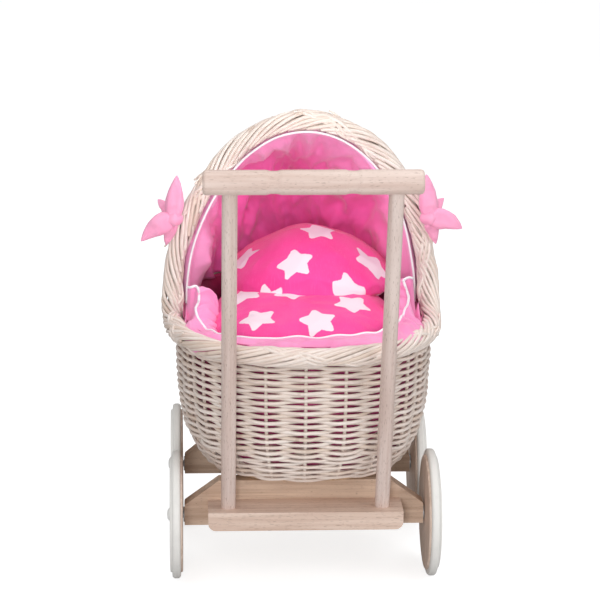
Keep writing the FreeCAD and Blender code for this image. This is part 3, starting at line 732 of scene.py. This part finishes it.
border_rods = []
for bundle in range(BUNDLES):
    lift = 0.0007 if bundle % 2 else -0.0005
    for strand in range(3):
        spread = (strand - 1) * 0.49 + bundle * TAU / BUNDLES
        for turn in range(TURNS):
            front = (math.pi * 0.62 - spread) / TAU
            start = (turn + front + 0.02 * strand + rng.uniform(-0.015, 0.015)) / TURNS
            stop = start + (1.07 + rng.uniform(-0.02, 0.03)) / TURNS
            points, ups = around(start, stop, spread, 1, over_and_under(lift))
            thick = 0.00238 * rng.uniform(0.92, 1.08) * (1 - 0.12 * np.linspace(1, 0, len(points)))
            border_rods.append((points, thick, ups, False))
for strand in range(3):
    angle0 = math.pi / 2 + (strand - 1) * 0.44
    points, ups = around(0, 1, angle0, -1, lambda t: CORD_RADIUS + 0.0019 * np.cos(TAU * TURNS * BUNDLES * t))
    border_rods.append((points, np.full(len(points), 0.0021), ups, False))
core = lean(line)
border_rods.append((core, np.full(len(core), 0.0056), face, True))
for k in range(16):
    start = rng.random()
    angle0 = -TAU * TURNS * start + rng.uniform(-0.5, 0.7)
    points, ups = around(start, start + 0.012, angle0, 1, lambda t: CORD_RADIUS + 0.0006 + 0.0042 * t)
    border_rods.append((points, np.linspace(0.0018, 0.0011, len(points)), ups, False))
border = rods_piece("border_plait", border_rods, wicker, 7)
dress(border, "wicker", "plaited_border")

# ---------------------------------------------------------------- cotton linings


def spline(keys, count):
    """Smooth curve through keyed points, evenly sampled in key order."""
    keys = np.asarray(keys, float)
    n = len(keys)
    t = np.linspace(0, n - 1, count)
    i = np.clip(t.astype(int), 0, n - 2)
    f = (t - i)[:, None] if keys.ndim == 2 else t - i
    before, after = keys[np.clip(i - 1, 0, n - 1)], keys[np.clip(i + 2, 0, n - 1)]
    p, q = keys[i], keys[i + 1]
    square = 2 * before - 5 * p + 4 * q - after
    cube = 3 * p - before - 3 * q + after
    return 0.5 * (2 * p + (q - before) * f + square * f**2 + cube * f**3)


def folds(points, scale, seed):
    """Smooth creased unevenness of cloth, about -0.5 to 0.5, at each point of an array."""
    flat = points.reshape(-1, 3)
    out = np.empty(len(flat))
    for k, (x, y, z) in enumerate(flat):
        at = Vector((x * scale[0] + seed, y * scale[1], z * scale[2]))
        out[k] = noise.noise(at) + 0.45 * (0.5 - abs(noise.noise(at * 1.9)) * 2)
    return out.reshape(points.shape[:-1])


HEM = (0.137, 0.211)
ROOF = (0.139, 0.1865, 0.206)
ARCH_STEPS, DEEP_STEPS = 150, 90


def hood_lining_points():
    """The hood's lining: turned hem, piped edge, then loose over the inside of the hood."""
    alpha = np.linspace(0.012, math.pi - 0.012, ARCH_STEPS)
    keys = [
        (0.0475, 0.0468, 0.080),
        (0.0480, 0.0475, 0.060),
        (0.0455, 0.0450, 0.048),
        (0.0400, 0.0400, 0.039),
    ]
    rows = []
    for width, rise, y in keys:
        rows.append((HEM[0] + width - 0.040 + 0.0005, HEM[1] + rise - 0.040, y))
    rows.append((HEM[0], HEM[1], 0.0345))
    rows.append((HEM[0] - 0.0025, HEM[1] - 0.0025, 0.040))
    for eta in np.linspace(0.06, 1.5, 12):
        rows.append((ROOF[0] * math.cos(eta), ROOF[2] * math.cos(eta), MID_Y + ROOF[1] * math.sin(eta)))
    profile = spline(rows, DEEP_STEPS)
    x = profile[None, :, 0] * np.cos(alpha)[:, None]
    z = RIM_Z + profile[None, :, 1] * np.sin(alpha)[:, None]
    y = np.broadcast_to(profile[None, :, 2], x.shape)
    rim_share = 1 - ease((np.arange(DEEP_STEPS)[None, :] - 14) / 12)
    gap = 0.0015 + 0.0065 * np.exp(-(((alpha - 0.78) / 0.26) ** 2))
    x = x - np.cos(alpha)[:, None] * gap[:, None] * rim_share
    z = z - np.sin(alpha)[:, None] * gap[:, None] * rim_share
    points = np.stack([x, y, z], -1)
    squares = x / ROOF[0] ** 2, (y - MID_Y) / ROOF[1] ** 2, (z - RIM_Z) / ROOF[2] ** 2
    inward = -unit(np.stack(squares, -1))
    depth = ease((y - 0.042) / 0.04) * ease((np.linspace(0, 1, DEEP_STEPS)[None, :] - 0.30) / 0.12)
    crease = folds(points, (19, 7, 10), 3.7) * 0.018 + folds(points, (44, 14, 26), 9.1) * 0.007
    puff = 0.017 * np.exp(-(((z - 0.352) / 0.05) ** 2)) * np.exp(-(((y - 0.085) / 0.04) ** 2))
    sag = 0.010 * np.exp(-((x / 0.07) ** 2) - ((y - 0.11) / 0.05) ** 2) * ease((z - 0.4) / 0.08)
    points = points + inward * (depth * (crease + puff + sag + 0.002))[..., None]
    hem_wave = wobble(np.linspace(0, 1, ARCH_STEPS), 3, 16, 0.0011)
    points[..., 1] += hem_wave[:, None] * (1 - depth)
    return lean(points), alpha


hood_points, alpha = hood_lining_points()
hood_lining = sheet_piece("hood_lining_cloth", hood_points, hood_pink_painted_light_and_shade, thickness=0.0012)
dress(hood_lining, "lining_pink", "hood_lining")

edge = lean(np.stack([HEM[0] * np.cos(alpha), 0 * alpha + 0.0325, RIM_Z + HEM[1] * np.sin(alpha)], 1))
edge[:, 1] += wobble(np.linspace(0, 1, len(alpha)), 3, 16, 0.0009)
forwards = np.broadcast_to((0.0, 1.0, 0.0), edge.shape)
hood_cord = (edge, np.full(len(edge), 0.00135), forwards, False)
hood_piping = rods_piece("hood_piping_cord", [hood_cord], piping_white, 10)
dress(hood_piping, "piping_white", "hood_piping")


def bag_points():
    """The bag inside the basket, from the rim down to its floor."""
    rows = [shell(thetas, np.full(len(thetas), z), 0.0150) for z in np.linspace(0.301, BASE_Z + 0.012, 46)]
    points = np.stack(rows, 1)
    z = points[..., 2]
    points[..., 2] = np.where(points[..., 1] < border_edge(z) + 0.012, np.minimum(z, 0.299), z)
    inward = unit(np.array([0, MID_Y, 0]) - points * (1, 1, 0))
    return points + inward * (folds(points, (16, 16, 26), 1.3) * 0.004)[..., None]


bag = sheet_piece("basket_lining_bag", bag_points(), bag_pink_painted_shade, closed=True, thickness=0.0012)
dress(bag, "lining_pink", "basket_lining")


COLLAR_STEPS = 260
COLLAR_MM = [  # the root's x, y and z, then the free edge's
    (-137, -12, 315, -135, -21.5, 337),
    (-138, -24, 302, -123.5, -27, 337),
    (-139, -36, 297, -122.5, -30, 322),
    (-140, -48, 296, -126, -37, 313),
    (-140, -68, 296, -120, -48, 301),
    (-137, -92, 296, -112, -64, 297),
    (-123, -118, 295, -97, -85, 297.5),
    (-95, -138, 295, -78, -101, 298),
    (-50, -149, 295, -42, -108, 299),
    (0, -151, 295, 0, -108, 299.5),
    (50, -149, 295, 45, -105, 300.5),
    (95, -138, 295, 80, -95, 301.5),
    (123, -118, 299, 100, -78, 305),
    (137, -92, 296, 112, -56, 306),
    (140, -68, 296, 118, -40, 310),
    (140, -48, 296, 123.5, -33, 324),
    (139, -36, 297, 120, -28, 337),
    (138, -24, 302, 118, -24, 345),
    (137, -12, 315, 129, -19, 345),
]
COLLAR_KEYS = np.array(COLLAR_MM) / 1000


def collar_curves():
    """Root and free edge of the collar that folds in over the rim, from corner to corner round the foot."""
    root = spline(COLLAR_KEYS[:, :3], COLLAR_STEPS)
    free = spline(COLLAR_KEYS[:, 3:], COLLAR_STEPS)
    share = np.linspace(0, 1, COLLAR_STEPS)
    free[:, 2] += wobble(share, 6, 26, 0.0009)
    free[:, 1] += wobble(share, 6, 30, 0.0010)
    return root, free, share


root, free, share = collar_curves()
corner = ease((np.abs(share - 0.5) - 0.29) / 0.09)
v = np.linspace(0, 1, 16)
collar = root[:, None, :] * (1 - v)[None, :, None] + free[:, None, :] * v[None, :, None]
arched = np.sin(math.pi * v)[None, :] * (0.0040 * (1 - corner) - 0.022 * corner)[:, None]
collar[..., 2] += arched
ripple = folds(collar, (34, 34, 20), 5.2) * 0.006 * np.sin(math.pi * np.minimum(v * 1.15, 1))[None, :]
collar[..., 2] += ripple
under = root + (0, 0, -0.010)
collar = np.concatenate([under[:, None, :], collar], 1)
collar_cloth = sheet_piece("lining_collar", collar, lining_pink, thickness=0.0012)
dress(collar_cloth, "lining_pink")
upwards = np.broadcast_to((0.0, 0.0, 1.0), free.shape) + 0.01
collar_cord = (free + (0, 0, 0.0008), np.full(COLLAR_STEPS, 0.0016), upwards, False)
piping = rods_piece("collar_piping_cord", [collar_cord], piping_white, 10)
dress(piping, "piping_white", "basket_piping")


POUCH_STEPS = 22
POUCH_KEYS = (
    (0.0, 0.0),
    (0.006, 0.002),
    (0.015, 0.001),
    (0.0215, -0.007),
    (0.023, -0.022),
    (0.017, -0.045),
)


def pouch(name, side, first, last):
    """Puffed gather of the lining beside each corner, from the piping inwards and down."""
    edge_line = free[first:last]
    count = len(edge_line)
    t = np.linspace(0, 1, count)
    toward = np.array([-side * 1.0, 0.45, 0])
    full = np.sin(math.pi * np.clip(t * 0.86 + 0.12, 0, 1)) ** 0.5
    rows = []
    for away, lift in POUCH_KEYS:
        row = edge_line + toward * (away * full)[:, None]
        row[:, 2] += lift - 0.002
        rows.append(row)
    keys = np.stack(rows, 1)
    points = np.stack([spline(k, POUCH_STEPS) for k in keys])
    pleat = np.sin(TAU * (t * 5.3 + 0.2))[:, None] * np.sin(math.pi * np.linspace(0, 1, POUCH_STEPS))[None, :]
    points[..., 0] += -side * pleat * 0.0024
    points[..., 2] += folds(points, (40, 40, 40), 2.2 + side) * 0.004
    piece = sheet_piece(name, points, lining_pink, thickness=0.0012)
    dress(piece, "lining_pink")


pouch("corner_pouch_left", -1, 6, 76)
pouch("corner_pouch_right", 1, 184, 254)

# ---------------------------------------------------------------- bedding


def pad_mesh(name, outline, top, bottom, material, rings=22, spokes=72):
    """Closed pad: its outline at the seam, crowned above and below."""
    edge_xy = outline(TAU * np.arange(spokes) / spokes)
    centre = edge_xy.mean(0)
    r = np.sin(np.linspace(0, 1, rings + 1)[1:] * math.pi / 2)
    verts = [np.array([[*centre, top(centre[0], centre[1], 0.0)]])]
    for q in r:
        xy = centre + (edge_xy - centre) * q
        verts.append(np.column_stack([xy, top(xy[:, 0], xy[:, 1], q)]))
    for q in r[-2::-1]:
        xy = centre + (edge_xy - centre) * q
        verts.append(np.column_stack([xy, bottom(xy[:, 0], xy[:, 1], q)]))
    verts.append(np.array([[*centre, bottom(centre[0], centre[1], 0.0)]]))
    verts = np.concatenate(verts)
    faces = [[0, 1 + k, 1 + (k + 1) % spokes] for k in range(spokes)]
    loops = 2 * rings - 1
    for i in range(loops - 1):
        a, b = 1 + i * spokes, 1 + (i + 1) * spokes
        faces.extend([a + k, b + k, b + (k + 1) % spokes, a + (k + 1) % spokes] for k in range(spokes))
    last = 1 + (loops - 1) * spokes
    faces.extend([len(verts) - 1, last + (k + 1) % spokes, last + k] for k in range(spokes))
    return finish_mesh(name, verts, faces, {}, material)


def puff_up(piece, voxel, cap, pressure=4.0, frames=20):
    """Blows the pad up a little as cloth, keeps each point within the cap, and smooths it once."""
    bpy.context.view_layer.objects.active = piece
    for other in bpy.context.selected_objects:
        other.select_set(False)
    piece.select_set(True)
    remesh = piece.modifiers.new("voxels", "REMESH")
    remesh.mode = "VOXEL"
    remesh.voxel_size = voxel
    remesh.use_smooth_shade = True
    bpy.ops.object.modifier_apply(modifier=remesh.name)
    count = len(piece.data.vertices)
    start = np.empty(count * 3, np.float32)
    piece.data.vertices.foreach_get("co", start)
    cloth = piece.modifiers.new("cloth", "CLOTH")
    cloth.settings.use_pressure = True
    cloth.settings.uniform_pressure_force = pressure
    cloth.settings.effector_weights.gravity = 0
    cloth.settings.tension_stiffness = 12
    cloth.settings.bending_stiffness = 0.4
    for step in range(1, frames + 1):
        bpy.context.scene.frame_set(step)
    shown = piece.evaluated_get(bpy.context.evaluated_depsgraph_get())
    end = np.empty(count * 3, np.float32)
    shown.data.vertices.foreach_get("co", end)
    piece.modifiers.remove(cloth)
    start, end = start.reshape(-1, 3), end.reshape(-1, 3)
    move = end - start
    far = np.linalg.norm(move, axis=1, keepdims=True)
    move *= np.minimum(1, cap / np.maximum(far, 1e-9))
    piece.data.vertices.foreach_set("co", (start + move).ravel())
    bpy.context.scene.frame_set(1)
    smooth = piece.modifiers.new("smooth", "SUBSURF")
    smooth.levels = smooth.render_levels = 1
    bpy.ops.object.modifier_apply(modifier=smooth.name)


def superoval(half_x, half_y, mid_y, power):
    def outline(turn):
        c, s = np.cos(turn), np.sin(turn)
        x = np.sign(c) * np.abs(c) ** (2 / power) * half_x
        y = np.sign(s) * np.abs(s) ** (2 / power) * half_y
        return np.stack([x, y + mid_y], 1)

    return outline


def read_points(piece):
    co = np.empty(len(piece.data.vertices) * 3, np.float32)
    piece.data.vertices.foreach_get("co", co)
    return co.reshape(-1, 3).astype(float)


def set_points(piece, points):
    piece.data.vertices.foreach_set("co", points.astype(np.float32).ravel())
    piece.data.update()


def lay_cloth(piece, arc):
    """Flat cloth coordinates: x across, and the length along the pad's middle from its foot."""
    points = read_points(piece)
    flat = np.stack([points[:, 0], arc(points[:, 1]), points[:, 2] * 0], 1)
    data = piece.data.attributes.new("cloth", "FLOAT_VECTOR", "POINT").data
    data.foreach_set("vector", flat.astype(np.float32).ravel())


DUVET_FOOT, DUVET_HEAD = -0.118, 0.100
SLOPE = math.tan(math.radians(9.5))


def duvet_top(x, y, q):
    plane = 0.3055 + (np.minimum(y, -0.005) + 0.111) * SLOPE
    return plane - 0.026 * q**9 - 0.016 * q**2 * (np.abs(x) / 0.11) ** 3


def duvet_bottom(x, y, q):
    return 0.176 + 0.052 * q**4 + 0 * x


STAR_RADIUS = 0.0222
DUVET_STARS = [
    (x, y, turn, STAR_RADIUS)
    for x, y, turn in (
        (-0.053, -0.067, 0.35),
        (0.016, -0.077, 0.20),
        (0.058, -0.033, 0.62),
        (-0.105, -0.095, 0.90),
        (-0.066, 0.000, 0.10),
        (-0.012, -0.006, 0.70),
    )
]
duvet_mid = (DUVET_FOOT + DUVET_HEAD) / 2
duvet = pad_mesh(
    "duvet_pad",
    superoval(0.116, (DUVET_HEAD - DUVET_FOOT) / 2, duvet_mid, 2.9),
    duvet_top,
    duvet_bottom,
    star_finish("star_cotton_duvet", DUVET_STARS),
)
puff_up(duvet, 0.005, 0.004)
points = read_points(duvet)
points[:, 2] += folds(points, (18, 26, 10), 6.6) * 0.0022
set_points(duvet, points)
lay_cloth(duvet, lambda y: y)

PILLOW_MID, PILLOW_LONG, PILLOW_WIDE = 0.084, 0.106, 0.108
PILLOW_SHIFT = 0.012


def pillow_top(x, y, q):
    return 0.3210 + 0.060 * np.clip(1 - q**1.8, 0, 1) ** 0.95 + 0 * x


def pillow_bottom(x, y, q):
    return 0.3150 - 0.006 * np.clip(1 - q**2, 0, 1) + 0 * x


def pillow_arc(y):
    grid = np.linspace(PILLOW_MID - PILLOW_LONG, PILLOW_MID + PILLOW_LONG, 400)
    high = pillow_top(0, grid, np.abs(grid - PILLOW_MID) / PILLOW_LONG)
    arc = np.concatenate([[0], np.cumsum(np.hypot(np.diff(grid), np.diff(high)))])
    return np.interp(y, grid, arc)


PILLOW_STARS = [
    (x, float(pillow_arc(y)), turn, STAR_RADIUS)
    for x, y, turn in (
        (-0.007, 0.010, 0.10),
        (0.023, 0.063, 0.15),
        (0.058, -0.010, 0.30),
        (0.086, 0.040, 0.85),
        (-0.070, 0.062, 0.70),
        (-0.044, -0.014, 0.05),
    )
]
pillow = pad_mesh(
    "pillow_pad",
    superoval(PILLOW_WIDE, PILLOW_LONG, PILLOW_MID, 2.4),
    pillow_top,
    pillow_bottom,
    star_finish("star_cotton_pillow", PILLOW_STARS),
)
puff_up(pillow, 0.005, 0.006)
points = read_points(pillow)
points[:, 0] += PILLOW_SHIFT
points[:, 2] += folds(points, (20, 20, 12), 4.4) * 0.004
set_points(pillow, points)
lay_cloth(pillow, pillow_arc)

mattress_low, mattress_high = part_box("mattress")
mattress_half = (mattress_high - mattress_low) / 2
mattress_mid = (mattress_high + mattress_low) / 2
mattress_outline = superoval(mattress_half.x - 0.004, mattress_half.y - 0.004, mattress_mid.y, 2.5)


def mattress_thick(x, q):
    return mattress_half.z * np.clip(1 - q**6, 0, 1) ** 0.5 - 0.0015 + 0 * x


mattress = pad_mesh(
    "mattress_pad",
    mattress_outline,
    lambda x, y, q: mattress_mid.z + mattress_thick(x, q),
    lambda x, y, q: mattress_mid.z - mattress_thick(x, q),
    ticking,
)
puff_up(mattress, 0.005, 0.003)
lay_cloth(mattress, lambda y: y)
for piece, node, finish, fill in (
    (duvet, "duvet", "star_cotton", 0.5),
    (pillow, "pillow", "star_cotton", 0.6),
    (mattress, "mattress", "mattress_ticking", 0.7),
):
    dress(piece, finish, node)

# ---------------------------------------------------------------- bows


def leaf(knot, tip, wide_by, deep, sag):
    """Folded end of a bow: narrow at the knot, full in the middle, pointed at the tip, creased along."""
    count, ring = 26, 18
    t = np.linspace(0, 1, count)
    knot, tip = np.array(knot), np.array(tip)
    middle = knot + (tip - knot) * t[:, None]
    middle[:, 2] -= sag * np.sin(math.pi * t)
    along = unit(np.gradient(middle, axis=0))
    across = unit(np.cross(along, (0.0, 1.0, 0.0)))
    out = np.cross(across, along)
    swelling = np.clip(np.sin(math.pi * t**0.72), 0, 1) ** 0.75
    full = swelling * (1 - 0.08 * t) + 0.28 * (1 - t) ** 3
    turn = TAU * np.arange(ring + 1) / ring
    flat = np.cos(turn)
    thick = np.sin(turn) * (1 - 0.45 * np.exp(-((flat / 0.22) ** 2)))
    a = flat[None, :] * (full * wide_by)[:, None]
    b = thick[None, :] * (full * deep)[:, None]
    return middle[:, None, :] + across[:, None, :] * a[..., None] + out[:, None, :] * b[..., None]


BOW_PARTS = (
    ("ear_up", (0.027, 0.055)),
    ("ear_side", (0.026, 0.048)),
    ("end_down", (0.016, 0.038)),
    ("end_back", (0.015, 0.030)),
)


def bow_piece(name, side):
    """Bow of soft folded cloth tied to the side of the hood: two ears, a knot and two hanging ends."""
    node = "bow_left" if side < 0 else "bow_right"
    low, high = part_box(node)
    mid = (low.y + high.y) / 2
    knot = np.array([side * 0.1520, mid, 0.409])
    low_tip = 0.384 if side < 0 else 0.397
    pieces = [
        leaf(knot, (side * 0.147, mid + 0.004, 0.461), 0.0108, 0.0080, 0.0),
        leaf(knot, (side * 0.1900, mid - 0.008, low_tip), 0.0125, 0.0080, -0.004),
        leaf(knot, (side * 0.161, mid + 0.010, 0.374), 0.0078, 0.0045, 0.0),
        leaf(knot, (side * 0.170, mid + 0.014, 0.430), 0.0070, 0.0045, -0.002),
    ]
    for k, points in enumerate(pieces):
        wave = folds(points, (60, 60, 60), 2.0 + k) * 0.0022
        points = points + wave[..., None] * (0.4, 1.0, 0.4)
        part = sheet_piece(f"{name}_{BOW_PARTS[k][0]}", points, bow_pink, seam=True)
        dress(part, "lining_pink")
    turn = np.linspace(0, math.pi, 14)
    rows = []
    for a in np.linspace(0, TAU, 25):
        ring = np.stack([np.cos(a) * np.sin(turn), np.sin(a) * np.sin(turn), np.cos(turn)], 1)
        rows.append(knot + ring * (0.0115, 0.0095, 0.0090) * (1 + 0.07 * np.sin(4 * a + 1)))
    knot_piece = sheet_piece(name + "_knot", np.array(rows), bow_pink, seam=True)
    dress(knot_piece, "lining_pink", node)


bow_piece("bow_cloth_left", -1)
bow_piece("bow_cloth_right", 1)

# ---------------------------------------------------------------- camera, light and floor

scene = bpy.context.scene
scene.view_settings.view_transform = "Standard"
scene.view_settings.look = "None"

camera_data = bpy.data.cameras.new("camera")
camera_data.lens = 144
camera_data.sensor_width = 36
camera = bpy.data.objects.new("camera", camera_data)
scene.collection.objects.link(camera)
scene.camera = camera
down, turned, rolled = math.radians(15.51), math.radians(2.69), math.radians(0.38)
right = Vector((math.cos(turned), -math.sin(turned), 0))
level = Vector((math.sin(turned), math.cos(turned), 0))
forward = level * math.cos(down) - Vector((0, 0, 1)) * math.sin(down)
above = right.cross(forward)
x_axis = right * math.cos(rolled) + above * math.sin(rolled)
y_axis = above * math.cos(rolled) - right * math.sin(rolled)
facing = Matrix((x_axis, y_axis, -forward)).transposed().to_4x4()
camera.matrix_world = Matrix.Translation((-0.131, -2.736, 1.075)) @ facing


def camera_only(tree, lit, seen, output):
    """Shows one shader to the camera, and lights the scene with the other."""
    path = tree.nodes.new("ShaderNodeLightPath")
    both = tree.nodes.new("ShaderNodeMixShader")
    for k, socket in enumerate((path.outputs["Is Camera Ray"], lit, seen)):
        tree.links.new(socket, both.inputs[k])
    tree.links.new(both.outputs[0], tree.nodes[output].inputs["Surface"])


world = bpy.data.worlds.new("studio")
scene.world = world
world.use_nodes = True
surround = world.node_tree.nodes["Background"]
surround.inputs["Color"].default_value = (1, 1, 1, 1)
surround.inputs["Strength"].default_value = 0.42
backdrop = world.node_tree.nodes.new("ShaderNodeBackground")
backdrop.inputs["Color"].default_value = (1, 1, 1, 1)
camera_only(world.node_tree, surround.outputs[0], backdrop.outputs[0], "World Output")


def lamp(name, place, target, size, power):
    data = bpy.data.lights.new(name, "AREA")
    data.shape = "RECTANGLE"
    data.size, data.size_y = size
    data.energy = power
    made = bpy.data.objects.new(name, data)
    scene.collection.objects.link(made)
    made.visible_camera = False
    made.location = place
    made.rotation_euler = (Vector(target) - Vector(place)).to_track_quat("-Z", "Y").to_euler()


lamp("key", (-1.0, -2.0, 2.1), (0, 0, 0.28), (1.0, 1.0), 8.5)
lamp("fill", (1.7, -1.6, 1.2), (0, 0, 0.28), (1.2, 1.2), 13)
lamp("front", (-0.4, -2.7, 0.72), (0, 0.05, 0.42), (0.5, 0.5), 20)
lamp("mouth", (0.0, -0.165, 0.475), (0, 0.14, 0.50), (0.18, 0.08), 0.20)
lamp("top", (0.2, 0.4, 2.4), (0, 0, 0.2), (1.6, 1.6), 20)

floor_finish = Finish("floor", Roughness=0.9)
soft = floor_finish.noise(floor_finish.place(), 3.0, 2.0)
floor_finish.out("Base Color", floor_finish.mix(soft, srgb(196, 196, 197), srgb(204, 204, 204)))
tree = floor_finish.tree
glow = tree.nodes.new("ShaderNodeEmission")
glow.inputs["Strength"].default_value = 0.74
lifted = tree.nodes.new("ShaderNodeAddShader")
tree.links.new(floor_finish.shader.outputs[0], lifted.inputs[0])
tree.links.new(glow.outputs[0], lifted.inputs[1])
camera_only(tree, floor_finish.shader.outputs[0], lifted.outputs[0], "Material Output")
bpy.ops.mesh.primitive_plane_add(size=16, location=(0, 0, 0))
floor = bpy.context.object
floor.name = "floor"
floor.data.materials.append(floor_finish.material)
